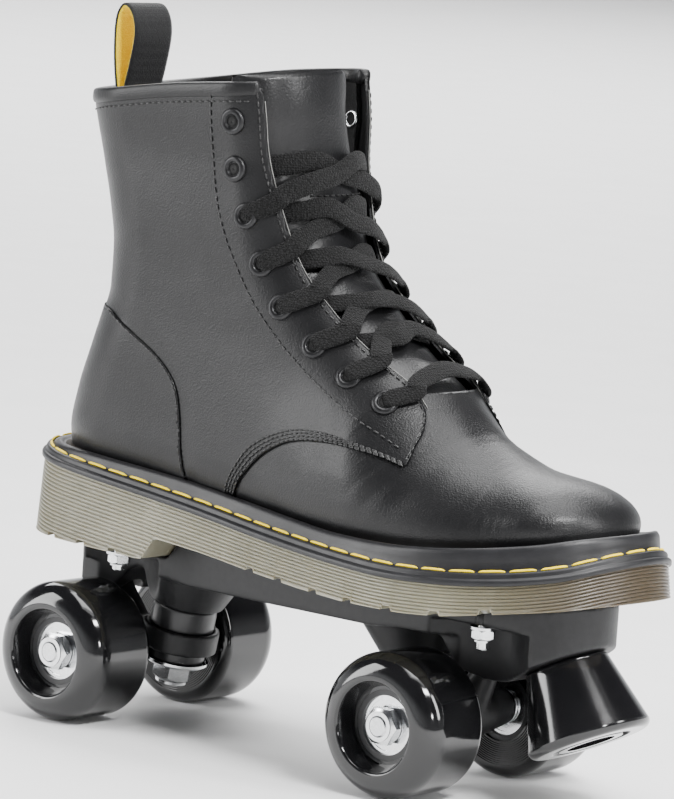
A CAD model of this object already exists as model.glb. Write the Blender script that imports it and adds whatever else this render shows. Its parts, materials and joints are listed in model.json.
"""Looks of a quad roller skate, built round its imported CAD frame.

Shapes are worked out in millimetres in the frame's own axes (+X toe, +Y wearer's left, +Z up)
and turned into metres where a mesh is made.
"""

import json
import math
import random

import bmesh
import bpy
import numpy as np
from mathutils import Matrix, Vector


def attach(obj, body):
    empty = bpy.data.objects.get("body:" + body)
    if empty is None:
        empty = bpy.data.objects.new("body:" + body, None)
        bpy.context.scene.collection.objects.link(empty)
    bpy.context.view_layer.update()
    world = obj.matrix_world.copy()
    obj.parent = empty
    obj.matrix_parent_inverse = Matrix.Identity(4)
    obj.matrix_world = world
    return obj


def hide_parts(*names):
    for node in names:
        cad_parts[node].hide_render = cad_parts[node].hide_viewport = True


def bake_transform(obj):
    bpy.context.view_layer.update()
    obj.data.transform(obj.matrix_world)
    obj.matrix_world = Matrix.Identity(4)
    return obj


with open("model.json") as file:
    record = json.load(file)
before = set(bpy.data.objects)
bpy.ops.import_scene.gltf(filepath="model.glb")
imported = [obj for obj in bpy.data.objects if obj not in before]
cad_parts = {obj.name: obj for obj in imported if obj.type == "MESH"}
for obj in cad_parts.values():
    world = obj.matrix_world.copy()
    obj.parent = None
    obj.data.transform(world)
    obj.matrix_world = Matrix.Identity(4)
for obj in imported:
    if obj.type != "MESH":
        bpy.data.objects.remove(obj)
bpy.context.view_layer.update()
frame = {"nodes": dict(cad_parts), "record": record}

MM = 0.001
LATERAL, MEDIAL = -1, 1
random.seed(7)


# ---------------------------------------------------------------- materials

def new_material(name, colour, roughness, **sockets):
    """Material with a Principled shader whose plain values are set on its own sockets."""
    material = bpy.data.materials.new(name)
    material.use_nodes = True
    shader = material.node_tree.nodes["Principled BSDF"]
    shader.inputs["Base Color"].default_value = (*colour, 1)
    shader.inputs["Roughness"].default_value = roughness
    for socket, value in sockets.items():
        shader.inputs[socket.replace("_", " ")].default_value = value
    return material


def add_node(material, kind, properties=None, **inputs):
    """New shader node; an input is a plain value or another node's output socket."""
    item = material.node_tree.nodes.new(kind)
    for key, value in (properties or {}).items():
        setattr(item, key, value)
    for key, value in inputs.items():
        socket = item.inputs[int(key[1:])] if key[0] == "i" and key[1:].isdigit() else item.inputs[key]
        if isinstance(value, bpy.types.NodeSocket):
            material.node_tree.links.new(value, socket)
        else:
            socket.default_value = value
    return item


def place(material, stretch=(1, 1, 1)):
    """Object coordinates in millimetres, stretched per axis."""
    spot = add_node(material, "ShaderNodeTexCoord").outputs["Object"]
    scale = tuple(1000 * part for part in stretch)
    return add_node(material, "ShaderNodeMapping", Vector=spot, Scale=scale).outputs["Vector"]


def noise(material, size, detail=3.0, stretch=(1, 1, 1)):
    """Noise whose features are about size millimetres."""
    return add_node(material, "ShaderNodeTexNoise", Vector=place(material, stretch),
                    Scale=1 / size, Detail=detail).outputs["Fac"]


def ramp(material, value, low, high, start=0.3, end=0.7):
    """Maps a 0-1 value on to two colours."""
    item = add_node(material, "ShaderNodeValToRGB", Fac=value)
    item.color_ramp.elements[0].position = start
    item.color_ramp.elements[1].position = end
    item.color_ramp.elements[0].color = (*low, 1)
    item.color_ramp.elements[1].color = (*high, 1)
    return item.outputs["Color"]


def spread(material, value, low, high):
    return add_node(material, "ShaderNodeMapRange", Value=value, **{"To Min": low, "To Max": high}).outputs[0]


def paint(material, colour=None, roughness=None):
    shader = material.node_tree.nodes["Principled BSDF"]
    links = material.node_tree.links
    if colour is not None:
        links.new(colour, shader.inputs["Base Color"])
    if roughness is not None:
        links.new(roughness, shader.inputs["Roughness"])


def bump(material, height, distance, strength=1.0, under=None):
    """Bump of a height in millimetres; returns its normal so that another can be laid over it."""
    inputs = {"Height": height, "Distance": distance * MM, "Strength": strength}
    if under is not None:
        inputs["Normal"] = under
    normal = add_node(material, "ShaderNodeBump", **inputs).outputs["Normal"]
    shader = material.node_tree.nodes["Principled BSDF"]
    material.node_tree.links.new(normal, shader.inputs["Normal"])
    return normal


def mottled(name, dark, light, smooth, rough, size, depth, **sockets):
    """Plain finish with soft colour variation, changing gloss and a fine grain."""
    material = new_material(name, dark, rough, **sockets)
    paint(material, ramp(material, noise(material, size * 6), dark, light),
          spread(material, noise(material, size * 4), smooth, rough))
    bump(material, noise(material, size), depth)
    return material


def leather(name, dark, light, smooth, rough, grain, depth, coat):
    """Corrected-grain leather: small pebbles with fine creases between them."""
    material = new_material(name, dark, rough, Coat_Weight=coat, Coat_Roughness=0.22,
                            Specular_IOR_Level=0.24)
    broad = noise(material, 26, 2)
    paint(material, ramp(material, broad, dark, light), spread(material, noise(material, 9), smooth, rough))
    warp = noise(material, grain * 3)
    shifted = add_node(material, "ShaderNodeVectorMath", {"operation": "ADD"},
                       i0=place(material), i1=warp).outputs[0]
    cells = add_node(material, "ShaderNodeTexVoronoi", {"feature": "SMOOTH_F1"},
                     Vector=shifted, Scale=1 / grain).outputs["Distance"]
    soft = bump(material, noise(material, 14, 2), 0.35, 0.5)
    bump(material, cells, depth, 1.0, soft)
    return material


def woven(name, dark, light, rough, pitch, depth, sheen):
    """Woven yarn: small raised picks in both directions."""
    material = new_material(name, dark, rough, Sheen_Weight=sheen, Sheen_Roughness=0.45,
                            Specular_IOR_Level=0.25)
    spot = place(material)
    cells = add_node(material, "ShaderNodeTexVoronoi", {"feature": "F1"},
                     Vector=spot, Scale=1 / pitch, Randomness=0.55).outputs["Distance"]
    paint(material, ramp(material, cells, light, dark, 0.1, 0.6))
    fuzz = bump(material, noise(material, pitch * 0.35), depth * 0.4)
    bump(material, cells, -depth, 1.0, fuzz)
    return material


def brushed(name, colour, smooth, rough, anisotropy=0.0):
    """Bright metal with fine turning marks and a few dull spots."""
    material = new_material(name, colour, rough, Metallic=1.0, Anisotropic=anisotropy)
    marks = noise(material, 0.8, 4, (1, 0.15, 1))
    shade = tuple(part * 0.8 for part in colour)
    paint(material, ramp(material, marks, shade, colour), spread(material, marks, smooth, rough))
    bump(material, noise(material, 0.3), 0.01)
    return material


def make_sole_rubber():
    """Milky olive rubber, browner where it is thin, with light showing through."""
    material = new_material("sole_rubber", (0.2, 0.17, 0.11), 0.4, Subsurface_Weight=0.25,
                            Subsurface_Radius=(2.2, 1.6, 0.9), Subsurface_Scale=MM, IOR=1.5)
    tone = noise(material, 30, 2)
    warm = ramp(material, tone, (0.165, 0.155, 0.105), (0.235, 0.222, 0.165))
    along = add_node(material, "ShaderNodeSeparateXYZ", Vector=place(material)).outputs["X"]
    toe = add_node(material, "ShaderNodeMapRange", Value=along,
                   **{"From Min": 105.0, "From Max": 150.0}).outputs[0]
    brown = (0.06, 0.047, 0.03, 1)
    mixed = add_node(material, "ShaderNodeMix", {"data_type": "RGBA"}, i0=toe, i6=warm, i7=brown)
    paint(material, mixed.outputs[2], spread(material, noise(material, 3), 0.24, 0.4))
    bump(material, noise(material, 0.7), 0.03)
    return material


def grey(level, blue=0.0):
    """Near-black or grey colour with a little blue added."""
    return (level, level, level + blue)


# dark and light colour, smooth and rough, grain in mm, depth in mm, coat weight
LEATHERS = {
    "leather_black": (grey(0.005, 0.0005), grey(0.009, 0.0005), 0.34, 0.44, 0.6, 0.11, 0.07),
    "tongue_leather": (grey(0.005, 0.0005), grey(0.009, 0.0005), 0.3, 0.4, 0.8, 0.12, 0.12),
}
# dark and light colour, roughness, pitch in mm, depth in mm, sheen
CLOTHS = {
    "lining_cloth": (grey(0.004), grey(0.012, 0.0005), 0.85, 0.7, 0.12, 0.1),
    "footbed_foam": (grey(0.014), grey(0.03, 0.001), 0.85, 0.9, 0.15, 0.3),
    "lace_black": (grey(0.001), grey(0.009, 0.0005), 0.9, 0.9, 0.7, 0.03),
    "loop_webbing": (grey(0.003, 0.0005), grey(0.012, 0.0005), 0.7, 0.7, 0.15, 0.12),
    "loop_yellow": ((0.85, 0.6, 0.001), (1.0, 0.8, 0.002), 0.65, 0.7, 0.15, 0.1),
}
# dark and light colour, smooth and rough, grain in mm, depth in mm, other sockets
PLAIN = {
    "yellow_thread": ((0.95, 0.64, 0.0), (1.0, 0.78, 0.0), 0.45, 0.6, 0.25, 0.05, {}),
    "black_thread": (grey(0.006), grey(0.02), 0.3, 0.45, 0.25, 0.05, {}),
    "edge_paint": ((0.13, 0.13, 0.125), (0.21, 0.21, 0.2), 0.3, 0.45, 0.5, 0.02, {}),
    "welt_black": (grey(0.008, 0.001), grey(0.014, 0.0015), 0.34, 0.46, 1.2, 0.03,
                   {"Specular_IOR_Level": 0.35}),
    "board": ((0.03, 0.024, 0.018), (0.05, 0.04, 0.03), 0.8, 0.9, 0.6, 0.06, {}),
    "wheel_urethane": (grey(0.004, 0.0005), grey(0.007, 0.0005), 0.08, 0.13, 3.0, 0.01,
                       {"Coat_Weight": 0.25, "Coat_Roughness": 0.05}),
    "stop_rubber": (grey(0.004, 0.0005), grey(0.007, 0.0005), 0.1, 0.16, 3.0, 0.01,
                    {"Coat_Weight": 0.25, "Coat_Roughness": 0.06}),
    "hub_core": (grey(0.012, 0.001), grey(0.02, 0.001), 0.3, 0.42, 1.0, 0.02, {}),
    "truck_nylon": (grey(0.006, 0.0005), grey(0.01, 0.001), 0.42, 0.54, 0.5, 0.03,
                    {"Specular_IOR_Level": 0.35}),
    "cushion_rubber": (grey(0.012, 0.001), grey(0.018, 0.001), 0.3, 0.4, 0.8, 0.02, {}),
    "eyelet_black": (grey(0.012, 0.001), grey(0.022, 0.001), 0.28, 0.4, 0.5, 0.01, {"Metallic": 0.6}),
    "dark_hole": (grey(0.002), grey(0.004), 0.8, 0.9, 1.0, 0.02, {}),
}
# colour, smooth and rough, how much the turning marks stretch the highlights
METALS = {
    "zinc": ((0.78, 0.79, 0.8), 0.12, 0.26, 0.0),
    "axle_steel": ((0.72, 0.73, 0.74), 0.15, 0.3, 0.0),
    "bearing_steel": ((0.8, 0.81, 0.82), 0.1, 0.22, 0.3),
}


def make_materials():
    made = {name: leather(name, *row) for name, row in LEATHERS.items()}
    made.update({name: woven(name, *row) for name, row in CLOTHS.items()})
    made.update({name: mottled(name, *row[:-1], **row[-1]) for name, row in PLAIN.items()})
    made.update({name: brushed(name, *row) for name, row in METALS.items()})
    made["sole_rubber"] = make_sole_rubber()
    return made


MATERIALS = make_materials()


# ---------------------------------------------------------------- mesh helpers

def piece(name, spots, faces, body, slot, *stands_for, finish=None, crease=None):
    """Mesh object from spots in millimetres, riding on a body unless body is None."""
    mesh = bpy.data.meshes.new(name)
    mesh.from_pydata([tuple(spot) for spot in np.asarray(spots, float) * MM], [], faces)
    mesh.validate()
    mesh.shade_smooth()
    if crease is not None:
        mesh.set_sharp_from_angle(angle=math.radians(crease))
    item = bpy.data.objects.new(name, mesh)
    bpy.context.scene.collection.objects.link(item)
    mesh.materials.append(MATERIALS[finish or slot])
    if body:
        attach(item, body)
    if stands_for:
        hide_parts(*stands_for)
    return item


def grid_faces(rows, columns, wrap_rows=False, wrap_columns=False):
    faces = []
    for row in range(rows if wrap_rows else rows - 1):
        after = (row + 1) % rows
        for column in range(columns if wrap_columns else columns - 1):
            beside = (column + 1) % columns
            faces.append((row * columns + column, row * columns + beside,
                          after * columns + beside, after * columns + column))
    return faces


def tube(rings):
    """Closed tube from an array of rings, with a flat cap on each end."""
    rings = np.asarray(rings, float)
    count, around = rings.shape[:2]
    faces = grid_faces(count, around, wrap_columns=True)
    faces.append(tuple(reversed(range(around))))
    faces.append(tuple(range((count - 1) * around, count * around)))
    return rings.reshape(-1, 3), faces


def lathe(outline, segments=96):
    """Spots and faces of a closed (radius, height) outline turned about +Z."""
    turns = np.linspace(0, 2 * math.pi, segments, endpoint=False)
    rings = [[(r * math.cos(t), r * math.sin(t), h) for r, h in outline] for t in turns]
    rings = np.asarray(rings)
    return rings.reshape(-1, 3), grid_faces(segments, len(outline), True, True)


def merged(parts):
    """Several (spots, faces) joined as one."""
    spots, faces, offset = [], [], 0
    for part_spots, part_faces in parts:
        spots.append(np.asarray(part_spots, float))
        faces += [tuple(index + offset for index in face) for face in part_faces]
        offset += len(part_spots)
    return np.vstack(spots), faces


def unit(vectors):
    vectors = np.asarray(vectors, float)
    return vectors / np.maximum(np.linalg.norm(vectors, axis=-1, keepdims=True), 1e-9)


def turned_to(spots, place_at, axis):
    """Spots moved so that their +Z points along axis and their origin lies at place_at."""
    turn = np.array(Vector((0, 0, 1)).rotation_difference(Vector(axis)).to_matrix())
    return np.asarray(spots) @ turn.T + np.asarray(place_at)


def smooth_line(points, spacing=1.0):
    """Evenly spaced spots along a smooth open curve through the points."""
    points = np.asarray(points, float)
    ends = np.vstack([2 * points[0] - points[1], points, 2 * points[-1] - points[-2]])
    fine = []
    for first, start, end, last in zip(ends, ends[1:], ends[2:], ends[3:]):
        for part in np.linspace(0, 1, 16, endpoint=False):
            fine.append(0.5 * (2 * start + (end - first) * part
                               + (2 * first - 5 * start + 4 * end - last) * part ** 2
                               + (3 * start - first - 3 * end + last) * part ** 3))
    fine.append(points[-1])
    return resampled(fine, spacing)


def distances(line):
    """Distance along a line of spots from its start to each spot."""
    return np.concatenate([[0], np.cumsum(np.linalg.norm(np.diff(line, axis=0), axis=1))])


def sampled(at, reach, values):
    """Values, one row for each entry of reach, at other distances."""
    values = np.asarray(values, float)
    return np.stack([np.interp(at, reach, values[:, axis]) for axis in range(values.shape[1])], -1)


def resampled(line, spacing):
    line = np.asarray(line, float)
    reach = distances(line)
    count = max(int(round(reach[-1] / spacing)), 1) + 1
    return sampled(np.linspace(0, reach[-1], count), reach, line)


def squared(value, power):
    """Sine or cosine pushed towards its ends, which squares off a round section."""
    return math.copysign(abs(value) ** power, value)


# ---------------------------------------------------------------- boot surface, as in the CAD

FEATHER = [
    (-130, 103.5), (-99, 102.9), (-70, 101.3), (-39, 99.1), (-9, 96.2), (26, 93.4), (49, 92.3),
    (70, 92.5), (97, 94.3), (119, 96.8), (136, 99.6), (147, 102.1), (165, 105),
]
SHELF = [
    (-130, 101.5), (-101, 98.3), (-62, 94.4), (-31, 91.1), (11, 87), (57, 84.6), (77, 84.1),
    (103, 85), (124, 86.9), (141, 89.9), (154, 95), (165, 100),
]
HEEL_LINE = [
    (88, -115.5), (110, -114.5), (127, -110.5), (143, -104.5), (160, -98.7), (168, -96.2),
    (184, -95.8), (199, -98), (214, -102), (229, -106), (245, -109), (262, -112.5),
]
# instep and toe ridge from the top down: x, height and rounding radius
RIDGE = [
    (-2.6, 262, 25), (1.5, 240, 24), (5.2, 216, 24), (13.1, 192.6, 27), (28, 176.4, 28),
    (46, 161, 26), (63, 150.5, 27), (87, 129.2, 48), (108, 122.6, 43), (129, 123.2, 30),
    (160, 121.8, 38),
]
FOOT_WIDTH = [(-116, 29.8), (-60, 30.8), (0, 32.5), (30, 37), (60, 41.5), (85, 43.4), (110, 41), (160, 42)]
LEG_WIDTH = [(100, 33), (150, 33), (175, 33.2), (200, 34.6), (220, 35.1), (240, 37.5), (262, 39)]
FOOT_MIDDLE = [
    (-116, 0), (-60, -1.2), (0, -3), (30, -3.2), (60, -2.5), (85, -1.2), (110, 0.5), (131, 2.2),
    (148, 4), (160, 5),
]
HEEL_ROUND = 33.0
TOE_X = 153.0
TOE_ROUND = 59.0
COLLAR = [(-130, 239.5), (-112, 242.2), (-92.5, 245), (-48.4, 251.7), (-11.3, 255.3), (60, 261)]
# the collar's far side stands a little higher
COLLAR_SLOPE = 0.07
# above this height the foot's shape turns into the leg's
FOOT_TOP = 112
BINDING_HEIGHT = 5.9
# front edges of the eyelet facings: height and distance from the boot's middle, and height and x
FACING_HALF = [
    (119.9, 32.3), (126.1, 27.9), (134.6, 20.8), (140.2, 18.2), (147, 18.4), (154, 19.7), (163, 21.5),
    (175.5, 22.9), (190, 24.2), (216, 27.9), (233, 30), (254, 31), (264, 31.4),
]
FACING_X = [
    (119.9, 73.8), (134.6, 71.4), (147, 59.7), (154, 46), (163, 34), (175.5, 18.7), (190, 6.6),
    (216, -3.3), (233, -6.6), (254, -9.7), (264, -11),
]
VAMP_EDGE = [
    (-14.5, 86), (-9.9, 97.4), (-3.9, 105.6), (5.4, 114.5), (17.4, 120.8), (30.5, 123.5), (46.3, 124.3),
    (60.8, 123), (72.5, 119.7), (74.6, 119),
]
VAMP_TOP_ROW = [
    (-15.4, 97.7), (-9.7, 107), (-1.4, 116.9), (11.2, 123.6), (24.1, 127), (39.9, 127.4), (57.4, 125.1),
    (71.4, 121.2),
]
COUNTER_EDGE = [
    (-140, 160.3), (-98, 160.3), (-81.5, 159.6), (-73.1, 156.1), (-64.5, 151.8), (-55.3, 146.9),
    (-47.5, 141.3), (-41.8, 134.4), (-39.1, 125.6), (-37.6, 114.3), (-36.5, 103), (-36, 84),
]
FACING_ROW = [
    (-29.8, 247), (-29.1, 225.5), (-26.2, 207), (-21.5, 194.3), (-15.8, 183.6), (-7.2, 171.5), (2.4, 162),
    (13.3, 153.4), (27.1, 145), (39.9, 138.8), (58.3, 131), (68.8, 125.6),
]
# near-side eyelets from the top down; the other side mirrors them
EYELETS = [
    (-19, 237.2), (-18.2, 219.5), (-11.9, 202.5), (-4.2, 185.4), (6.2, 170.4), (22.8, 158.1),
    (39.8, 148.7), (57, 141.2),
]


def follow(knots, at):
    """Smooth curve through (at, value) knots that never overshoots them."""
    x, y = np.asarray(knots, float).T
    at = np.clip(np.asarray(at, float), x[0], x[-1])
    span = np.diff(x)
    slope = np.diff(y) / span
    product = slope[:-1] * slope[1:]
    total = slope[:-1] + slope[1:]
    inner = np.where(product > 0, 2 * product / np.where(total == 0, 1, total), 0)
    lean = np.concatenate([slope[:1], inner, slope[-1:]])
    index = np.clip(np.searchsorted(x, at, "right") - 1, 0, len(span) - 1)
    part = (at - x[index]) / span[index]
    rise = y[index + 1] - y[index]
    first, last = lean[index] * span[index], lean[index + 1] * span[index]
    return (y[index] + first * part + (3 * rise - 2 * first - last) * part ** 2
            + (first + last - 2 * rise) * part ** 3)


def ease(part):
    part = np.clip(part, 0, 1)
    return part * part * (3 - 2 * part)


def bisected(inside, near, far, rounds):
    """Where inside, true at near and false at far, changes; halves the gap each round."""
    for _ in range(rounds):
        half = (near + far) / 2
        holds = inside(half)
        near, far = np.where(holds, half, near), np.where(holds, far, half)
    return near


def ridge_line(steps=60):
    number = np.arange(len(RIDGE))
    at = np.linspace(0, len(RIDGE) - 1, steps + 1)
    return np.column_stack([follow(list(zip(number, column)), at) for column in zip(*RIDGE)])


RIDGE_LINE = ridge_line()


def below_ridge(x, z):
    """Distance inside the ridge line, negative outside, and the rounding radius there."""
    start, end = RIDGE_LINE[:-1], RIDGE_LINE[1:]
    dx, dz = (end - start)[:, 0], (end - start)[:, 1]
    px, pz = x[..., None] - start[:, 0], z[..., None] - start[:, 1]
    part = np.clip((px * dx + pz * dz) / (dx * dx + dz * dz), 0, 1)
    ex, ez = px - part * dx, pz - part * dz
    reach = np.hypot(ex, ez)
    best = reach.argmin(-1)[..., None]

    def at_best(values):
        return np.take_along_axis(values, best, -1)[..., 0]

    inside = at_best(dx * ez - dz * ex) <= 0
    rounding = at_best(start[:, 2] + part * (end - start)[:, 2])
    return np.where(inside, at_best(reach), -at_best(reach)), rounding


def half_width(x, z, depth=0.0):
    """Half the boot's width at a side-view spot, for the surface depth inside the leather."""
    x, z = np.broadcast_arrays(np.asarray(x, float), np.asarray(z, float))
    inside, rounding = below_ridge(x, z)
    tuck = np.maximum(1 - np.maximum(z - follow(FEATHER, x), 0) / 13, 0) ** 2
    heel = np.maximum(1 - (x - follow(HEEL_LINE, z) - depth) / (HEEL_ROUND - depth), 0)
    ridge = np.maximum(1 - (inside - depth) / (rounding - depth), 0)
    toe = np.maximum(1 - (TOE_X - depth - 6 * tuck - x) / (TOE_ROUND - depth), 0)
    left = 1 - heel ** 2 - ridge ** 2.2 - toe ** 2.1
    foot, leg = follow(FOOT_WIDTH, x), follow(LEG_WIDTH, z)
    width = foot + (leg - foot) * ease((z - FOOT_TOP) / 40)
    return np.where(left > 0, (width - depth - 3.5 * tuck) * np.maximum(left, 0) ** 0.47, -1.0)


def middle(x, z):
    return follow(FOOT_MIDDLE, x) * (1 - ease((np.asarray(z, float) - FOOT_TOP) / 50))


def skin(x, z, side, lift=0.0):
    """Spots on the boot's side at side-view places."""
    x, z = np.asarray(x, float), np.asarray(z, float)
    return np.stack([x, middle(x, z) + side * np.maximum(half_width(x, z, -lift), 0), z], -1)


def skin_normal(x, z, side):
    x, z = np.asarray(x, float), np.asarray(z, float)
    ahead = skin(x + 0.4, z, side) - skin(x - 0.4, z, side)
    up = skin(x, z + 0.4, side) - skin(x, z - 0.4, side)
    return unit(np.cross(ahead, up) * -side)


def front_spots(y, z, depth=0.0):
    """Spots on the boot's front at given heights and distances from the middle."""
    y, z, depth = np.broadcast_arrays(*(np.asarray(value, float) for value in (y, z, depth)))

    def in_boot(x):
        return half_width(x, z, depth) > np.abs(y - middle(x, z))

    front = bisected(in_boot, np.full(y.shape, -40.0), np.full(y.shape, 130.0), 24)
    return np.stack([front, y, z], -1)


def front_normals(y, z):
    across = front_spots(y + 0.4, z) - front_spots(y - 0.4, z)
    up = front_spots(y, z + 0.4) - front_spots(y, z - 0.4)
    return unit(np.cross(across, up))


# ---------------------------------------------------------------- boot grid and leather panels

LEG_X = -50
KNEE = np.array([75.0, 200.0])
BALL = np.array([95.0, 88.0])
AROUND = 288
GRID_FLOOR = 84.0


def ring_frames():
    """Centre (x, z), direction towards the ridge (x, z) and share of a full turn, from top to toe."""
    rings = [((LEG_X, z), (1, 0), 1.0) for z in np.arange(264, 200.5, -1.25)]
    for turn in np.radians(np.linspace(0, 90, 135)):
        distance = 125 - 40 * turn / (math.pi / 2)
        pointing = np.array([math.cos(turn), math.sin(turn)])
        rings.append((KNEE - distance * pointing, pointing, 1.0))
    start = np.array([75.0, 115.0])
    for part in np.linspace(0, 1, 19)[1:]:
        rings.append((start + (BALL - start) * part, (0, 1), 1 - 0.45 * part))
    for turn in np.radians(np.linspace(0, 86, 76))[1:]:
        rings.append((BALL, (math.sin(turn), math.cos(turn)), 0.55))
    return rings


def boot_grid():
    """Spots and normals all over the boot, as rings from the collar to the toe."""
    rings = ring_frames()
    centre = np.array([ring[0] for ring in rings], float)[:, None, :]
    pointing = np.array([ring[1] for ring in rings], float)[:, None, :]
    share = np.array([ring[2] for ring in rings])[:, None]
    turn = (2 * math.pi * (np.arange(AROUND) + 0.5) / AROUND - math.pi) * share
    direction = np.stack([np.cos(turn) * pointing[..., 0], np.sin(turn), np.cos(turn) * pointing[..., 1]], -1)
    origin = np.stack([centre[..., 0] + 0 * turn, 0 * turn, centre[..., 1] + 0 * turn], -1)
    falling = -direction[..., 2]
    floor = np.where(falling > 1e-6, (origin[..., 2] - GRID_FLOOR) / np.maximum(falling, 1e-6), 300)

    def in_boot(distance):
        x, y, z = np.moveaxis(origin + direction * distance[..., None], -1, 0)
        return half_width(x, z) > np.abs(y - middle(x, z))

    reach = bisected(in_boot, np.zeros_like(turn), np.minimum(floor, 300.0), 22)
    spots = origin + direction * reach[..., None]
    down = np.gradient(spots, axis=0)
    around = np.roll(spots, -1, 1) - np.roll(spots, 1, 1)
    normals = unit(np.cross(down, around))
    outward = np.sign((normals * direction).sum(-1, keepdims=True))
    return spots.reshape(-1, 3), (normals * outward).reshape(-1, 3), len(rings)


SPOTS, NORMALS, RINGS = boot_grid()
QUADS = np.array(grid_faces(RINGS, AROUND, wrap_columns=True))
X, Y, Z = SPOTS.T
OFF_MIDDLE = np.abs(Y - middle(X, Z))
EDGE_ROUND = 0.55


def outline_field(corners):
    """Distance inside a closed side-view outline, negative outside, at every grid spot."""
    corners = np.asarray(corners, float)
    best = np.full(len(SPOTS), 1e9)
    inside = np.zeros(len(SPOTS), bool)
    for (ax, az), (bx, bz) in zip(corners, np.roll(corners, -1, 0)):
        dx, dz = bx - ax, bz - az
        part = np.clip(((X - ax) * dx + (Z - az) * dz) / (dx * dx + dz * dz), 0, 1)
        best = np.minimum(best, np.hypot(X - ax - part * dx, Z - az - part * dz))
        crosses = (az > Z) != (bz > Z)
        if dz:
            inside ^= crosses & (X < ax + (Z - az) * dx / dz)
    return np.where(inside, best, -best)


def snapped(spots, normals, field):
    """Moves grid spots that lie almost on the panel's edge on to it."""
    spots, normals, field = spots.copy(), normals.copy(), field.copy()
    number = np.arange(len(field)).reshape(RINGS, AROUND)
    beside = [np.roll(number, -1, 1), np.roll(number, 1, 1),
              np.vstack([number[1:], number[-1:]]), np.vstack([number[:1], number[:-1]])]
    best = np.full(len(field), 9.0)
    target = np.zeros(len(field), int)
    for other in beside:
        other = other.ravel()
        opposite = (field >= 0) != (field[other] >= 0)
        part = np.where(opposite, field / np.where(opposite, field - field[other], 1), 9.0)
        closer = part < best
        best, target = np.where(closer, part, best), np.where(closer, other, target)
    near = best < 0.3
    share = best[near][:, None]
    spots[near] += share * (SPOTS[target[near]] - spots[near])
    normals[near] = unit(normals[near] + share * (NORMALS[target[near]] - normals[near]))
    field[near] = 0.0
    return spots, normals, field


def cut_faces(spots, normals, field):
    """The grid's faces where the field is positive, cut along its edge."""
    keep = field >= 0
    inside = keep[QUADS].sum(1)
    faces = [tuple(quad) for quad in QUADS[inside == 4].tolist()]
    new_spots, new_normals, cuts = [], [], {}

    def crossing(a, b):
        key = (min(a, b), max(a, b))
        if key not in cuts:
            part = field[a] / (field[a] - field[b])
            cuts[key] = len(spots) + len(new_spots)
            new_spots.append(spots[a] + part * (spots[b] - spots[a]))
            new_normals.append(normals[a] + part * (normals[b] - normals[a]))
        return cuts[key]

    for quad in QUADS[(inside > 0) & (inside < 4)].tolist():
        corners = []
        for a, b in zip(quad, quad[1:] + quad[:1]):
            if keep[a]:
                corners.append(a)
            if keep[a] != keep[b] and field[a] and field[b]:
                corners.append(crossing(a, b))
        if len(corners) > 2:
            faces.append(tuple(corners))
    if new_spots:
        spots = np.vstack([spots, new_spots])
        normals = unit(np.vstack([normals, new_normals]))
    return spots, normals, faces


def edge_directions(spots, normals, rim):
    """Unit vectors that point out of the panel at each spot on its edge."""
    total = np.zeros_like(spots)
    for a, b in rim:
        out = np.cross(spots[b] - spots[a], normals[a] + normals[b])
        out /= max(np.linalg.norm(out), 1e-9)
        total[a] += out
        total[b] += out
    total -= (total * normals).sum(1, keepdims=True) * normals
    return unit(total)


def panel(name, field, slot, *stands_for, lift=0.0, thick=1.9, edge=EDGE_ROUND, body="chassis"):
    """Closed leather panel with rounded edges, over the part of the boot where field is positive."""
    spots, normals, inner = snapped(SPOTS, NORMALS, field - edge)
    spots, normals, faces = cut_faces(spots, normals, inner)
    owners = {(a, b) for face in faces for a, b in zip(face, face[1:] + face[:1])}
    rim = [(a, b) for a, b in owners if (b, a) not in owners]
    on_grid = len(SPOTS)
    lifts = np.zeros(len(spots))
    lifts[:on_grid] = lift
    for face in faces:
        known = [index for index in face if index < on_grid]
        for index in face:
            if index >= on_grid and known:
                lifts[index] = lifts[known[0]]
    out = edge_directions(spots, normals, rim)
    used = sorted({index for face in faces for index in face})
    number = {old: new for new, old in enumerate(used)}
    top = spots[used] + normals[used] * lifts[used, None]
    under = spots[used] + normals[used] * (lifts[used, None] - thick)
    rim_spots = sorted({a for a, b in rim} | {b for a, b in rim})
    rim_number = {old: new for new, old in enumerate(rim_spots)}
    profile = [(edge * math.sin(t), edge * (1 - math.cos(t))) for t in np.radians((25, 50, 75, 90))]
    profile.append((edge, thick))
    layers = [top, under]
    for sideways, down in profile:
        layers.append(spots[rim_spots] + out[rim_spots] * sideways
                      + normals[rim_spots] * (lifts[rim_spots, None] - down))
    count = len(used)
    all_faces = [tuple(number[index] for index in face) for face in faces]
    all_faces += [tuple(count + number[index] for index in reversed(face)) for face in faces]
    base, step = 2 * count, len(rim_spots)
    for a, b in rim:
        columns = [(number[a], number[b])]
        columns += [(base + k * step + rim_number[a], base + k * step + rim_number[b])
                    for k in range(len(profile))]
        columns.append((count + number[a], count + number[b]))
        for (a0, b0), (a1, b1) in zip(columns, columns[1:]):
            all_faces.append((b0, a0, a1, b1))
    return piece(name, np.vstack(layers), all_faces, body, slot, *stands_for)


IN_FRONT = X > follow(FACING_X, Z) - 30
ABOVE_WELT = Z - follow(FEATHER, X) + 3.2
BELOW_COLLAR = follow(COLLAR, X) + COLLAR_SLOPE * Y - 2.0 - Z
FROM_FACING = np.where(IN_FRONT, OFF_MIDDLE - follow(FACING_HALF, Z), 60.0)


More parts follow.
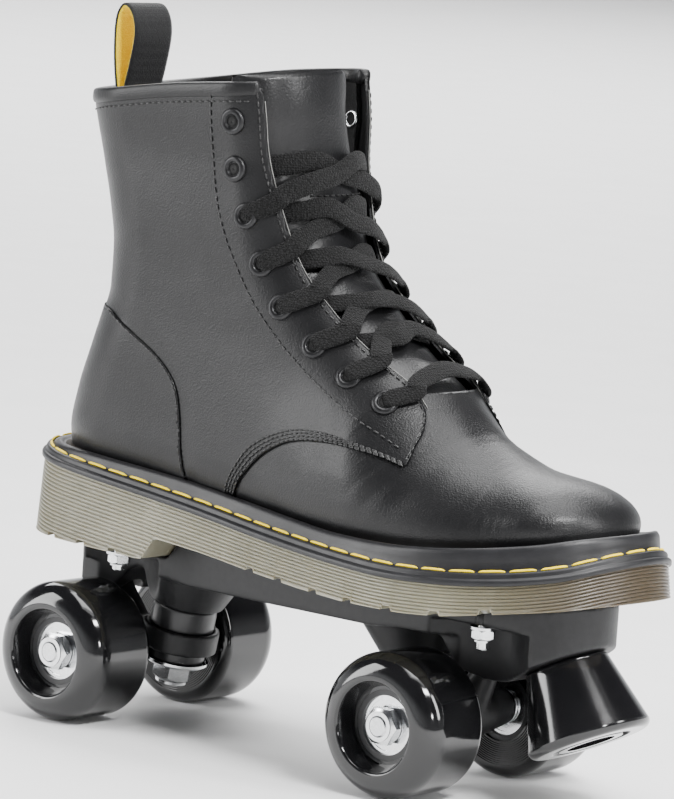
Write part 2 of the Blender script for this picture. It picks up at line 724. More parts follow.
def make_upper():
    vamp_line = smooth_line(VAMP_EDGE, 2).tolist()
    counter_line = smooth_line(COUNTER_EDGE[1:], 2).tolist()
    quarter_side = outline_field(vamp_line + [(79, 127), (86, 134), (86, 300), (-145, 300), (-145, 160.3)]
                                 + counter_line)
    counter_side = outline_field([(-145, 160.3)] + counter_line + [(-145, 84)])
    quarter = np.minimum(quarter_side, FROM_FACING)
    vamp = np.minimum.reduce([2.6 - quarter, 146 - Z, ABOVE_WELT, X + 24])
    vamp_lift = 0.7 * ease((-quarter - 1) / 14) - 0.7 - 0.6 * ease(quarter / 2)
    panel("vamp_panel", vamp, "leather_black", "vamp", lift=vamp_lift)
    quarter_lift = -0.5 * (1 - ease((-counter_side - 0.5) / 9))
    for side, name in ((LATERAL, "lateral"), (MEDIAL, "medial")):
        own_side = side * (Y - middle(X, Z)) + 0.1
        covered = np.where(counter_side > -30, -counter_side + 2.4, 40)
        field = np.minimum.reduce([np.minimum(np.maximum(quarter_side, np.where(X < -30, covered, -99)),
                                              FROM_FACING), own_side, ABOVE_WELT, BELOW_COLLAR])
        panel(f"quarter_{name}_panel", field, "leather_black", f"quarter_{name}", lift=quarter_lift)
    panel("counter_panel", np.minimum(counter_side, ABOVE_WELT), "leather_black", "heel_counter")
    opening = np.where(IN_FRONT & (Z > 130), OFF_MIDDLE - follow(FACING_HALF, Z) - 5, 60.0)
    inside = np.minimum.reduce([opening, ABOVE_WELT, BELOW_COLLAR])
    panel("lining_shell", inside, "lining_cloth", "lining", lift=-2.1, thick=1.6)


# ---------------------------------------------------------------- stitches

def stitch_row(line, normals, length, gap, radius, sink=0.0, sides=6):
    """Separate raised stitches along a line of spots; returns (spots, faces)."""
    line, normals = np.asarray(line, float), np.asarray(normals, float)
    reach = distances(line)
    profile = [(0.0, 0.3), (0.05, 0.75), (0.15, 1.0), (0.5, 1.0), (0.85, 1.0), (0.95, 0.75), (1.0, 0.3)]
    turns = np.linspace(0, 2 * math.pi, sides, endpoint=False)
    parts = []
    count = int(reach[-1] // (length + gap))
    pitch = reach[-1] / max(count, 1)
    share = length / (length + gap)
    for number in range(count):
        rings = []
        wobble = random.uniform(-0.12, 0.12) * radius
        for along, swell in profile:
            at = (number + along * share) * pitch
            spot = sampled(at, reach, line)
            up = unit(sampled(at, reach, normals))
            ahead, behind = sampled(at + 0.05, reach, line), sampled(at - 0.05, reach, line)
            aside = unit(np.cross(unit(ahead - behind), up))
            rise = 0.2 + 0.8 * min(math.sin(math.pi * along) * 1.6, 1)
            centre = spot + up * (radius * rise - sink) + aside * wobble
            rings.append([centre + radius * swell * (math.cos(t) * aside + math.sin(t) * up) for t in turns])
        parts.append(tube(rings))
    return merged(parts)


def side_row(points, side, length, gap, radius, lift=0.0):
    """Stitches along a side-view line on the boot."""
    line = smooth_line(points, 0.8)
    normals = skin_normal(line[:, 0], line[:, 1], side)
    spots = skin(line[:, 0], line[:, 1], side) + normals * lift
    return stitch_row(spots, normals, length, gap, radius)


def between(lower, upper, share):
    """Side-view line part of the way from one line to another."""
    low, high = resampled(smooth_line(lower), 1.0), resampled(smooth_line(upper), 1.0)
    at = np.linspace(0, 1, 60)
    low, high = (sampled(at, np.linspace(0, 1, len(line)), line) for line in (low, high))
    return low + (high - low) * share


def facing_row(side, inset):
    """Line beside the front edge of a facing, with its normals."""
    z = np.arange(123, 250, 0.8)
    y = side * (follow(FACING_HALF, z) + inset)
    return front_spots(y, z), front_normals(y, z)


def collar_line(side, drop, start=-99.0, end=-12.0):
    x = np.arange(start, end, 0.8)
    return np.column_stack([x, follow(COLLAR, x) + COLLAR_SLOPE * side * 36 - drop])


def make_upper_stitching():
    parts = []
    edge = VAMP_EDGE[1:-1]
    for side in (LATERAL, MEDIAL):
        for share in (0.2, 0.46, 0.73, 1.0):
            parts.append(side_row(between(edge, VAMP_TOP_ROW, share), side, 2.1, 0.45, 0.33))
        parts.append(side_row(np.array(COUNTER_EDGE[2:-1]) - (1.2, 0.8), side, 2.2, 0.9, 0.3))
        parts.append(side_row(FACING_ROW, side, 2.2, 1.0, 0.3))
        parts.append(side_row(collar_line(side, BINDING_HEIGHT + 1.5), side, 2.0, 0.9, 0.3))
        spots, normals = facing_row(side, 2.3)
        parts.append(stitch_row(spots, normals, 2.1, 0.9, 0.3))
    piece("upper_stitching", *merged(parts), "chassis", "leather_black", finish="black_thread")


def make_facing_edges():
    """Pale cut edge of the leather along both facings."""
    parts = []
    turns = np.linspace(0, 2 * math.pi, 8, endpoint=False)
    for side, top in ((LATERAL, 246), (MEDIAL, 250)):
        z = np.arange(140, top, 0.8)
        y = side * (follow(FACING_HALF, z) + 0.1)
        spots, normals = front_spots(y, z, 0.45), front_normals(y, z)
        aside = unit(np.cross(np.gradient(spots, axis=0), normals))
        parts.append(tube([[spot + 0.22 * (math.cos(t) * a + math.sin(t) * n) for t in turns]
                           for spot, a, n in zip(spots, aside, normals)]))
    piece("facing_edges", *merged(parts), "chassis", "leather_black", finish="edge_paint")


# ---------------------------------------------------------------- collar binding, tongue, eyelets

def collar_path(drop, depth):
    """Level spots round the collar from one throat corner to the other, with outward directions."""
    turn = np.radians(np.linspace(-180, 180, 721))
    spots = []
    for angle in turn:
        direction = np.array([-math.cos(angle), math.sin(angle)])
        z = 250.0
        for _ in range(3):
            def in_leg(distance):
                x, y = LEG_X + direction[0] * distance, direction[1] * distance
                return half_width(x, z, depth) > abs(y)

            reach = float(bisected(in_leg, 0.0, 110.0, 18))
            x, y = LEG_X + direction[0] * reach, direction[1] * reach
            z = float(follow(COLLAR, x)) + COLLAR_SLOPE * direction[1] * reach - drop
        spots.append((x, y, z))
    spots = np.array(spots)
    behind = spots[:, 0] < float(follow(FACING_X, 254)) - 5
    kept = spots[behind | (np.abs(spots[:, 1]) > 30.2)]
    order = np.argsort(np.arctan2(kept[:, 1], -(kept[:, 0] - LEG_X)))
    line = resampled(kept[order], 1.0)
    along = np.gradient(line, axis=0)
    outward = unit(np.cross(along, (0, 0, 1)))
    if (outward * (line - (LEG_X, 0, 250))).sum() < 0:
        outward = -outward
    return line, outward


def make_binding():
    """Rolled strip over the top edge, with rounded folded ends."""
    line, outward = collar_path(BINDING_HEIGHT / 2, 1.9)
    turns = np.linspace(0, 2 * math.pi, 28, endpoint=False)
    rings = []
    last = len(line) - 1
    for number, (spot, out) in enumerate(zip(line, outward)):
        end = min(number, last - number)
        swell = math.sqrt(max(1 - (1 - min(end / 2.0, 1)) ** 2, 0.02))
        ring = []
        for t in turns:
            c, s = math.cos(t), math.sin(t)
            across = 2.6 * squared(c, 0.55) * swell
            up = BINDING_HEIGHT / 2 * squared(s, 0.75) * swell
            ring.append(spot + out * across + np.array([0, 0, up]))
        rings.append(ring)
    spots, faces = tube(rings)
    piece("collar_roll", spots, faces, "chassis", "leather_black", "collar_binding")


def tongue_depth(z):
    return 4.6 - 4.0 * ease((z - 226) / 32)


def tongue_edges(z):
    """Where the tongue's sides are; its far side leaves the facing near the top."""
    half = float(follow(FACING_HALF, z)) + 4.5
    return -half, half - (half - 12.5) * ease((z - 196) / 52)


def tongue_top(y):
    """Height of the tongue's rounded top edge."""
    return 258.2 - 0.0022 * min(y - 6, 0) ** 2 - 0.08 * max(y - 6, 0) ** 2


TONGUE_FOOT = 126.0
TONGUE_RISE = 132.0


def make_tongue():
    """Padded tongue: a crowned front face, rounded edges and a thin back."""
    shares = np.linspace(0, 1, 130)
    columns = np.linspace(-1, 1, 71)
    front, back = [], []
    for share in shares:
        z_row = TONGUE_FOOT + share * TONGUE_RISE
        left, right = tongue_edges(z_row)
        y = (left + right) / 2 + columns * (right - left) / 2
        height = TONGUE_FOOT + share * (np.array([tongue_top(value) for value in y]) - TONGUE_FOOT)
        rim = np.sqrt(np.maximum(1 - np.abs(columns) ** 12, 0))
        to_top = (1 - share) * TONGUE_RISE
        top = math.sqrt(max(1 - max(1 - to_top / 2.0, 0) ** 2, 0.0))
        thick = 3.4 * rim * top
        crown = 0.7 * (1 - columns ** 2) * (1 - ease((z_row - 240) / 18))
        curl = 3.0 * np.clip(columns, 0, 1) ** 4 * ease((z_row - 215) / 30)
        centre = tongue_depth(z_row) + 1.7 + curl
        front.append(front_spots(y, height, centre - thick / 2 - crown))
        back.append(front_spots(y, height, centre + thick / 2))
    front, back = np.array(front), np.array(back)
    spots, faces = tube(np.concatenate([front, back[:, ::-1]], axis=1))
    item = piece("tongue_pad", spots, faces, "chassis", "tongue_leather", "tongue")
    y = np.linspace(-22, 20, 90)
    line = front_spots(y, 211 + 0 * y, tongue_depth(211) - 0.8 * (1 - (y / 30) ** 2))
    row = stitch_row(line, front_normals(y, 211 + 0 * y), 2.2, 1.0, 0.32)
    piece("tongue_stitching", *row, "chassis", "tongue_leather", finish="black_thread")


RING_OUTLINE = [
    (2.55, -1.2), (2.55, 0.1), (2.7, 0.55), (3.1, 0.95), (3.7, 1.1), (4.3, 0.95), (4.8, 0.55), (5.05, 0.0),
    (5.0, -1.2),
]
RIM_OUTLINE = [(2.25, -1.6), (2.25, 0.2), (2.32, 0.4), (2.45, 0.5), (2.6, 0.4), (2.65, 0.15), (2.65, -1.6)]
HOLE_OUTLINE = [(0.02, -1.5), (0.02, 0.12), (2.3, 0.12), (2.3, -1.5)]
BACK_OUTLINE = [(2.3, 0), (2.3, 0.5), (2.8, 0.8), (3.4, 0.5), (3.6, 0)]


def make_eyelets():
    """Ring, inner rim and dark hole outside each facing, and a bright washer inside it."""
    front = {"eyelet_rings": RING_OUTLINE, "eyelet_rims": RIM_OUTLINE, "eyelet_holes": HOLE_OUTLINE}
    parts = {name: [] for name in (*front, "eyelet_backs")}
    for x, z in EYELETS:
        for side in (LATERAL, MEDIAL):
            axis = skin_normal(x, z, side)
            spot = skin(x, z, side) + axis * 0.25
            for name, outline_points in front.items():
                spots, faces = lathe(outline_points, 40)
                parts[name].append((turned_to(spots, spot, axis), faces))
            spots, faces = lathe(BACK_OUTLINE, 32)
            parts["eyelet_backs"].append((turned_to(spots, spot - axis * 4.0, -axis), faces))
    piece("eyelet_rings", *merged(parts["eyelet_rings"]), "chassis", "eyelet_black", "eyelets")
    piece("eyelet_rims", *merged(parts["eyelet_rims"]), "chassis", "eyelet_black")
    piece("eyelet_backs", *merged(parts["eyelet_backs"]), "chassis", "zinc")
    piece("eyelet_holes", *merged(parts["eyelet_holes"]), "chassis", "lining_cloth", finish="dark_hole")


# ---------------------------------------------------------------- lace

LACE_STEP = 0.9
LACE_PINCH = 7
# how far a crossing is lifted off the tongue where it passes over or under the other one
PASS_OVER, PASS_UNDER = 2.6, 0.2


def strand(line, outward, width=7.6, thick=1.7):
    """Flat oval lace along a line, pinched where it leaves its eyelets and slightly uneven."""
    line, outward = np.asarray(line, float), unit(outward)
    along = unit(np.gradient(line, axis=0))
    aside = unit(np.cross(along, outward))
    over = unit(np.cross(aside, along))
    turns = np.linspace(0, 2 * math.pi, 24, endpoint=False)
    phase = random.uniform(0, 6.28)
    rings = []
    last = len(line) - 1
    for number, spot in enumerate(line):
        share = number / last
        opened = ease(min(number, last - number) * LACE_STEP / LACE_PINCH)
        wide = width / 2 * (0.55 + 0.45 * opened) * (1 + 0.05 * math.sin(9 * share + phase))
        deep = thick / 2 * (1.25 - 0.25 * opened)
        twist = 0.12 * math.sin(5 * share + phase)
        u = aside[number] * math.cos(twist) + over[number] * math.sin(twist)
        v = over[number] * math.cos(twist) - aside[number] * math.sin(twist)
        ring = []
        for t in turns:
            c, s = math.cos(t), math.sin(t)
            ring.append(spot + u * wide * squared(c, 0.65) + v * deep * squared(s, 0.7))
        rings.append(ring)
    return tube(rings)


def lace_line(knots, ups):
    """Smooth line through knots with outward directions blended along it."""
    line = smooth_line(knots, LACE_STEP)
    reach = distances(knots)
    return line, sampled(np.linspace(0, reach[-1], len(line)), reach, ups)


def front_knots(places):
    """Positions and outward directions for (y, z, depth) places."""
    knots = [front_spots(y, z, depth) for y, z, depth in places]
    ups = [front_normals(np.array(y), np.array(z)) for y, z, depth in places]
    return knots, ups


def crossing_line(lower, upper, side, over):
    """Slack lace that climbs from an eyelet to the middle and tucks under the other facing."""
    (x0, z0), z1 = EYELETS[lower], EYELETS[upper][1]
    axis = skin_normal(x0, z0, side)
    half = float(follow(FACING_HALF, z0 + 8))
    toward = unit(front_spots(side * half, z0 + 9, -1.6) - skin(x0, z0, side))
    hole = skin(x0, z0, side) + toward * 0.9
    knots, ups = front_knots([
        (side * (half + 3.0), z0 + 6.5, -2.3),
        (side * half, z0 + 9.5, -2.0),
        (side * half * 0.6, z0 + 13.8, 1.2 - over),
        (side * half * 0.12, z0 + 16.6, 2.2 - over),
        (-side * half * 0.35, z1 + 4.6, 2.3 - over),
        (-side * half * 0.75, z1 + 3.2, 2.8 - over * 0.5),
        (-side * (half + 0.5), z1 + 1.6, 3.7),
        (-side * (half + 3.5), z1 + 0.5, 4.1),
    ])
    return lace_line([hole - axis * 2.2, hole + axis * 1.2] + knots, [axis, axis] + ups)


def bar_line():
    """Lowest stretch, arching across between the last two eyelets."""
    x, z = EYELETS[-1]
    half = float(follow(FACING_HALF, z + 7))
    near, far = skin_normal(x, z, LATERAL), skin_normal(x, z, MEDIAL)
    start, end = skin(x, z, LATERAL) + (0.3, 0.9, 0.6), skin(x, z, MEDIAL) + (0.3, -0.9, 0.6)
    knots, ups = front_knots([
        (-(half + 3), z + 4.5, -2.2),
        (-half, z + 7.5, -2.0),
        (-half * 0.45, z + 10.3, -0.6),
        (0, z + 11.4, -0.4),
        (half * 0.45, z + 10.6, -0.6),
        (half, z + 8.2, -2.0),
        (half + 3, z + 5, -2.2),
    ])
    return lace_line([start - near * 2.2, start + near * 1.2] + knots + [end + far * 1.2, end - far * 2.2],
                     [near, near] + ups + [far, far])


def make_lace():
    parts = [strand(*bar_line())]
    for number in range(6, 1, -1):
        near_over, far_over = (PASS_OVER, PASS_UNDER) if number == 2 else (PASS_UNDER, PASS_OVER)
        parts.append(strand(*crossing_line(number, number - 1, LATERAL, near_over)))
        parts.append(strand(*crossing_line(number, number - 1, MEDIAL, far_over)))
    piece("lace_runs", *merged(parts), "chassis", "lace_black", "lace")


# ---------------------------------------------------------------- pull loop

LOOP_ROUTE = [
    (-98, 228), (-99.6, 236), (-101.4, 243), (-102.9, 252), (-103.6, 261), (-103.5, 267), (-102.6, 271.3),
    (-100.2, 274.3), (-97.3, 273.3), (-94.9, 269.8), (-93.8, 265), (-94.1, 259.5), (-95.7, 251),
    (-97.4, 243), (-97.1, 236), (-96.1, 228),
]


LOOP_STEP = 0.25
RIB_PITCH = 1.15
LOOP_Y = -1


def loop_layer(near, far, half, ribs):
    """One layer of the loop between two distances from its middle line, with cross ribs."""
    line = smooth_line(LOOP_ROUTE, LOOP_STEP)
    along = unit(np.gradient(line, axis=0))
    outward = np.column_stack([-along[:, 1], along[:, 0]])
    columns = np.linspace(-1, 1, 17)
    rings = []
    reach = LOOP_STEP * np.arange(len(line))
    for number, (spot, out) in enumerate(zip(line, outward)):
        ripple = ribs * math.sin(2 * math.pi * reach[number] / RIB_PITCH)
        ring = []
        for level, order in ((far, columns), (near, columns[::-1])):
            for column in order:
                soft = 0.25 * abs(column) ** 12 * (1 if level > 0 else -1)
                shift = level + math.copysign(ripple, level) - soft
                ring.append((spot[0] + out[0] * shift, LOOP_Y + column * half, spot[1] + out[1] * shift))
        rings.append(ring)
    return tube(rings)


def make_pull_loop():
    piece("loop_outside", *loop_layer(0.02, 0.85, 10.5, 0.09), "chassis", "loop_webbing", "pull_loop")
    piece("loop_inside", *loop_layer(-0.8, -0.02, 10.2, 0.05), "chassis", "loop_yellow")


# ---------------------------------------------------------------- sole, welt and insole

SOLE = [
    (-124, 0), (-120.5, -18), (-108, -31), (-88, -36), (-60, -37), (-30, -37.5), (0, -40.5),
    (30, -46), (60, -51), (85, -52.5), (110, -48.5), (131, -38), (147, -23), (155, -4),
    (155.5, 14), (148, 30), (133, 42), (110, 49), (85, 50), (58, 46), (30, 39), (0, 34),
    (-30, 33), (-60, 34), (-88, 34.5), (-108, 30), (-120.5, 17),
]
SOLE_BOTTOM = [
    (-130, 68.7), (-118, 68.5), (-53, 67), (-50, 67.2), (-44, 75.5), (-42, 75.9), (-20, 74.4),
    (8, 72), (37, 70.6), (60, 70), (89, 70.4), (105, 71.5), (126, 74.8), (142, 77.2),
    (151, 79.2), (165, 82),
]
TREAD_NOTCHES = (-99, -82, -65, 8.9, 25.4, 45.5, 64, 83, 103, 121)
NOTCH_WIDTH = 4
NOTCH_DEPTH = 1.7


def closed_spline(points):
    """Smooth closed curve through points: returns a function of the share of its length."""
    points = np.asarray(points, float)
    count = len(points)
    chord = np.linalg.norm(np.roll(points, -1, 0) - points, axis=1)
    before = np.roll(chord, 1)
    matrix = np.zeros((count, count))
    for row in range(count):
        matrix[row, row - 1] = chord[row]
        matrix[row, row] = 2 * (chord[row] + before[row])
        matrix[row, (row + 1) % count] = before[row]
    step = (np.roll(points, -1, 0) - points) / chord[:, None]
    right = 3 * (before[:, None] * step + chord[:, None] * np.roll(step, 1, 0))
    slopes = np.linalg.solve(matrix, right)
    knots = np.concatenate([[0], np.cumsum(chord)])

    def at(share):
        place_at = np.asarray(share) % 1.0 * knots[-1]
        index = np.clip(np.searchsorted(knots, place_at, "right") - 1, 0, count - 1)
        part = ((place_at - knots[index]) / chord[index])[:, None]
        p0, p1 = points[index], points[(index + 1) % count]
        m0, m1 = slopes[index] * chord[index][:, None], slopes[(index + 1) % count] * chord[index][:, None]
        return ((2 * part ** 3 - 3 * part ** 2 + 1) * p0 + (part ** 3 - 2 * part ** 2 + part) * m0
                + (3 * part ** 2 - 2 * part ** 3) * p1 + (part ** 3 - part ** 2) * m1)

    return at


SOLE_CURVE = closed_spline(SOLE)


def outline(count):
    """Evenly spaced spots round the sole, with outward directions."""
    line = SOLE_CURVE(np.linspace(0, 1, 4000, endpoint=False))
    spacing = np.linalg.norm(np.diff(line, axis=0), axis=1).sum() / count
    line = resampled(np.vstack([line, line[:1]]), spacing)[:-1]
    along = np.roll(line, -1, 0) - np.roll(line, 1, 0)
    return line, unit(np.column_stack([along[:, 1], -along[:, 0]]))


def tread(x):
    """Height of the sole's underside edge, with its notches."""
    low = np.interp(x, *np.asarray(SOLE_BOTTOM).T)
    for at in TREAD_NOTCHES:
        low = low + NOTCH_DEPTH * ease((NOTCH_WIDTH / 2 + 0.3 - np.abs(x - at)) / 0.6)
    return low


BAND_HEIGHT = 2.0
WALL_FLARE = 0.9


def wall_rows(x):
    """Rows down the sole's wall at each x: their heights and their insets from the outline."""
    top, bottom = follow(SHELF, x), tread(x)
    pitch = 1.5 - 0.25 * ease((x + 60) / 120)
    levels, insets = [], []
    for step in (0, 0.35, 0.9, BAND_HEIGHT - 0.25, BAND_HEIGHT):
        levels.append(top - step)
        insets.append(0.45 * np.clip(1 - step / 0.9, 0, 1) ** 2 + 0 * x)
    for rib in np.arange(0, 22, 0.2)[1:]:
        level = np.maximum(top - (BAND_HEIGHT + rib * pitch), bottom)
        groove = 0.5 * (1 + np.cos(2 * math.pi * rib))
        levels.append(level)
        insets.append((0.55 * groove ** 2 + 0.05) * ease((level - bottom) / 0.8))
    levels, insets = np.array(levels), np.array(insets)
    flare = WALL_FLARE * (1 - 2 * (top - levels) / np.maximum(top - bottom, 1.0))
    return levels, insets + flare


def welded(mesh, crease):
    """Joins the spots where rows of the mesh meet, and keeps edges sharper than crease degrees."""
    work = bmesh.new()
    work.from_mesh(mesh)
    bmesh.ops.remove_doubles(work, verts=work.verts, dist=0.02 * MM)
    bmesh.ops.recalc_face_normals(work, faces=work.faces)
    work.to_mesh(mesh)
    work.free()
    mesh.shade_smooth()
    mesh.set_sharp_from_angle(angle=math.radians(crease))


def make_outsole():
    """Ribbed wall with a plain band at its top, and an underside with cross grooves."""
    line, outward = outline(1300)
    x = line[:, 0]
    rings = [np.column_stack([line - outward * 11, follow(SHELF, x)])]
    for level, inset in zip(*wall_rows(x)):
        rings.append(np.column_stack([line + outward * -inset[:, None], level]))
    rings.append(np.column_stack([line - outward * 0.2, tread(x)]))
    for inset in (6, 12, 18, 24, 29):
        flat = line - outward * inset
        rings.append(np.column_stack([flat, tread(flat[:, 0])]))
    rings = np.array(rings)
    faces = grid_faces(len(rings), len(line), wrap_columns=True)
    item = piece("sole_wall", rings.reshape(-1, 3), faces, "chassis", "sole_rubber", "outsole", crease=40)
    welded(item.data, 42)


def sweep_outline(profile, count):
    """Ring-shaped solid from (inset, height above the shelf, share of the shelf-to-feather rise)."""
    line, outward = outline(count)
    shelf, feather = follow(SHELF, line[:, 0]), follow(FEATHER, line[:, 0])
    rings = []
    for inset, rise, share in profile:
        flat = line - outward * inset
        height = shelf + rise + share * (feather - shelf)
        rings.append(np.column_stack([flat, height]))
    rings = np.array(rings).transpose(1, 0, 2)
    return rings.reshape(-1, 3), grid_faces(count, len(profile), True, True)


def make_welt():
    """Side band, a groove, a ledge for the thread, an upright wall and a rolled bead at the leather."""
    profile = [
        (-0.2, -2.3, 0), (-0.32, -2.0, 0), (-0.3, -0.9, 0), (-0.1, -0.4, 0), (0.5, 0.0, 0), (1.0, 0.1, 0),
        (1.25, 0.5, 0), (1.3, 1.3, 0), (1.6, 1.9, 0), (2.2, 2.25, 0), (2.8, 2.2, 0), (3.2, 2.0, 0),
        (3.8, 2.1, 0), (4.2, 2.7, 0), (4.5, 1.4, 0.45), (4.8, 0.3, 0.8), (5.3, -0.1, 0.96),
        (5.9, 0.2, 1.0), (6.5, 0.35, 1.0), (7.1, 0.2, 1.0), (7.6, -0.35, 1.0), (8.3, -0.55, 1.0),
        (9.6, -0.6, 1.0), (11.0, -0.9, 1.0), (14.5, -1.3, 1.0), (14.5, -2.6, 1.0), (9.8, -2.6, 1.0),
        (9.8, 0.05, 0), (2.5, 0.05, 0), (2.5, -2.3, 0),
    ]
    spots, faces = sweep_outline(profile, 900)
    piece("welt_strip", spots, faces, "chassis", "welt_black", "welt")


def make_welt_stitching():
    line, outward = outline(900)
    flat = line - outward * 3.3
    height = follow(SHELF, line[:, 0]) + 2.45
    spots = np.column_stack([flat, height])
    normals = unit(np.column_stack([outward * 0.8, np.full(len(line), 1.0)]))
    spots = np.vstack([spots, spots[:1]])
    normals = np.vstack([normals, normals[:1]])
    row = stitch_row(spots, normals, 9.6, 1.5, 0.5, sink=0.15, sides=8)
    piece("welt_stitches", *row, "chassis", "yellow_thread", "welt_stitching")


def make_footbed():
    """Insole: raised round its rim and dished at the heel."""
    line, outward = outline(240)
    rings = []
    for inset, rise in ((14.5, 0.4), (13.2, 1.6), (12.9, 4.2), (13.6, 5.4), (15, 5.2), (18, 4.4), (23, 3.9),
                        (28, 3.7), (32, 3.7)):
        flat = line - outward * inset
        dish = 0.6 * ease((-60 - flat[:, 0]) / 40)
        height = follow(FEATHER, flat[:, 0]) + rise - dish * (inset > 20)
        inside = half_width(flat[:, 0], height + 3, 4.2)
        y = np.clip(flat[:, 1], middle(flat[:, 0], height) - inside, middle(flat[:, 0], height) + inside)
        rings.append(np.column_stack([flat[:, 0], y, height]))
    rings = np.array(rings)
    spots, faces = tube(rings)
    item = piece("insole_pad", spots, faces, "chassis", "footbed_foam", "footbed")


# ---------------------------------------------------------------- plate, hangers and cushions

RING_X, RING_HEIGHT = 60.4, 32.4
KINGPIN_TILT = math.radians(10)
# bottom, top, radius and bulge of each cushion, measured along the kingpin from the hanger's ring
CUSHIONS = {"upper": (2.5, 13.4, 12.2, 0.9), "lower": (-9.1, -1.5, 11.0, 0.7)}
BOLT_X, BOLT_SPREAD = (-75.8, 103.5), 21
BOSS_OUTLINE = [(2.52, 65.5), (3.1, 65.5), (3.4, 65.8), (3.4, 71.0), (2.52, 71.0)]


def moulded(name, node, body, slot, voxel=0.65, rounds=9):
    """Copy of a CAD piece with the soft edges and fillets of a moulding."""
    item = frame["nodes"][node].copy()
    item.data = item.data.copy()
    item.name = name
    item.data.name = name
    item.parent = None
    bpy.context.scene.collection.objects.link(item)
    item.matrix_world = frame["nodes"][node].matrix_world.copy()
    remesh = item.modifiers.new("remesh", "REMESH")
    remesh.mode = "VOXEL"
    remesh.voxel_size = voxel * MM
    soften = item.modifiers.new("soften", "SMOOTH")
    soften.factor = 0.5
    soften.iterations = rounds
    bpy.context.view_layer.update()
    graph = bpy.context.evaluated_depsgraph_get()
    mesh = bpy.data.meshes.new_from_object(item.evaluated_get(graph))
    bpy.data.objects.remove(item)
    mesh.name = name
    mesh.shade_smooth()
    mesh.materials.clear()
    mesh.materials.append(MATERIALS[slot])
    made = bpy.data.objects.new(name, mesh)
    bpy.context.scene.collection.objects.link(made)
    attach(made, body)
    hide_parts(node)


def cushion_outline(low, high, radius, bulge):
    """Half section of a cushion: rounded corners and a side that swells in its middle."""
    points = [(5.3, low)]
    for share in np.linspace(0, 1, 21):
        across = 2 * share - 1
        corner = math.sqrt(max(1 - max(abs(across) - 0.8, 0) ** 2 / 0.04, 0.0))
        points.append((radius - 0.8 + 0.8 * corner + bulge * 0.35 * (1 - across ** 2),
                       low + share * (high - low)))
    return points + [(5.3, high)]


def make_cushions():
    """Urethane cushions, squeezed between the hanger and the plate or a washer."""
    for name, end in (("front", 1), ("rear", -1)):
        ring = np.array([RING_X * end, 0, RING_HEIGHT])
        axis = np.array([-end * math.sin(KINGPIN_TILT), 0, math.cos(KINGPIN_TILT)])
        for place_name, (low, high, radius, bulge) in CUSHIONS.items():
            spots, faces = lathe(cushion_outline(low, high, radius, bulge), 64)
            item = piece(f"{name}_{place_name}_cushion_urethane", turned_to(spots, ring, axis), faces, None,
                         "cushion_rubber", f"{name}_{place_name}_cushion")
            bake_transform(item)


def make_bolt_bosses():
    """Short round bosses of the plate that hold each mounting bolt above its washer."""
    parts = []
    for x in BOLT_X:
        for y in (-BOLT_SPREAD, BOLT_SPREAD):
            spots, faces = lathe(BOSS_OUTLINE, 32)
            parts.append((spots + (x, y, 0), faces))
    piece("bolt_bosses", *merged(parts), "chassis", "truck_nylon")


def make_castings():
    moulded("plate_moulding", "plate", "chassis", "truck_nylon")
    moulded("front_hanger_moulding", "front_hanger", "front_truck", "truck_nylon")
    moulded("rear_hanger_moulding", "rear_hanger", "rear_truck", "truck_nylon")


# ---------------------------------------------------------------- camera, floor and light

CAMERA_AT = (1145.15, -1388.42, 361.36)
# the camera's right, up and backward directions
CAMERA_TURN = (
    (0.76681, 0.63815, 0.06897),
    (-0.13307, 0.05293, 0.98969),
    (0.62792, -0.76809, 0.12551),
)
# name, place, size and power of each lamp, and what it points at
LAMPS = [
    ("backdrop", (-2.8, 3.2, 3.2), (4.0, 4.0), 420, (-2.8, 3.2, 0)),
    ("ceiling", (0.4, 0.6, 4.5), (3.0, 3.0), 200, (0, 0, 0.13)),
    ("overhead", (0.1, 0.1, 1.5), (1.4, 0.9), 12, (0, 0, 0.13)),
    ("left_box", (-1.0, -0.9, 0.6), (0.5, 1.1), 20, (0, 0, 0.13)),
    ("right_box", (1.4, 0.3, 0.8), (0.3, 0.9), 16, (0, 0, 0.13)),
    ("toe_light", (0.9, -0.2, 1.1), (0.4, 0.2), 24, (0, 0, 0.13)),
    ("toe_spot", (1.5, -0.5, 0.5), (0.12, 0.12), 5, (0.13, 0, 0.1)),
]


def add_camera():
    camera = bpy.data.cameras.new("camera")
    camera.sensor_width = 36
    camera.lens = 215.9
    camera.clip_end = 20
    item = bpy.data.objects.new("camera", camera)
    turn = Matrix(CAMERA_TURN).transposed().to_4x4()
    item.matrix_world = Matrix.Translation(Vector(CAMERA_AT) * MM) @ turn
    bpy.context.scene.collection.objects.link(item)
    bpy.context.scene.camera = item


def add_lamp(name, spot, size, power, target):
    lamp = bpy.data.lights.new(name, "AREA")
    lamp.shape = "RECTANGLE"
    lamp.size, lamp.size_y = size
    lamp.energy = power
    item = bpy.data.objects.new(name, lamp)
    item.location = spot
    item.rotation_euler = (Vector(target) - Vector(spot)).to_track_quat("-Z", "Y").to_euler()
    bpy.context.scene.collection.objects.link(item)


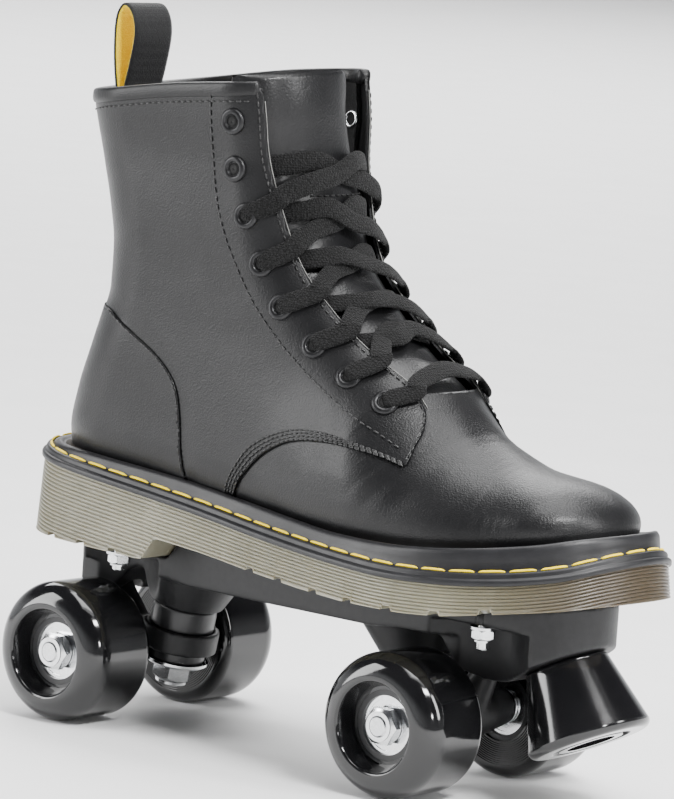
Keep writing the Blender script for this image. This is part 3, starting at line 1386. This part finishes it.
def add_floor(size=25.0):
    corners = [(-size, -size, 0), (size, -size, 0), (size, size, 0), (-size, size, 0)]
    mesh = bpy.data.meshes.new("floor")
    mesh.from_pydata(corners, [], [(0, 1, 2, 3)])
    floor = bpy.data.objects.new("floor", mesh)
    bpy.context.scene.collection.objects.link(floor)
    paper = new_material("floor_paper", (0.86, 0.86, 0.86), 0.7)
    paint(paper, ramp(paper, noise(paper, 60), (0.85, 0.85, 0.85), (0.88, 0.88, 0.88)))
    mesh.materials.append(paper)


def add_world():
    """Soft surroundings: bright at the horizon, dark above and darker towards the toe."""
    world = bpy.data.worlds.new("studio")
    world.use_nodes = True
    bpy.context.scene.world = world
    direction = add_node(world, "ShaderNodeTexCoord").outputs["Generated"]
    height = add_node(world, "ShaderNodeSeparateXYZ", Vector=direction).outputs["Z"]
    sky = ramp(world, height, (1.25, 1.27, 1.3), (0.08, 0.08, 0.09), 0.12, 0.38)
    toward_toe = add_node(world, "ShaderNodeSeparateXYZ", Vector=direction).outputs["X"]
    shade = ramp(world, toward_toe, (1, 1, 1), (0.3, 0.3, 0.3), 0.0, 0.75)
    mixed = add_node(world, "ShaderNodeMix", {"data_type": "RGBA", "blend_type": "MULTIPLY"},
                     i0=1.0, i6=sky, i7=shade).outputs[2]
    background = world.node_tree.nodes["Background"]
    world.node_tree.links.new(mixed, background.inputs["Color"])
    background.inputs["Strength"].default_value = 1.0


def add_studio():
    add_floor()
    add_world()
    for row in LAMPS:
        add_lamp(*row)


def dress_cad_nodes():
    """Gives each CAD node that still shows the material of its slot."""
    for entry in frame["record"]["subparts"]:
        mesh = frame["nodes"][entry["node"]].data
        mesh.materials.clear()
        mesh.materials.append(MATERIALS[entry["material_slot"]])


dress_cad_nodes()
make_upper()
make_upper_stitching()
make_facing_edges()
make_binding()
make_tongue()
make_eyelets()
make_lace()
make_pull_loop()
make_outsole()
make_welt()
make_welt_stitching()
make_footbed()
make_castings()
make_bolt_bosses()
make_cushions()
add_camera()
add_studio()
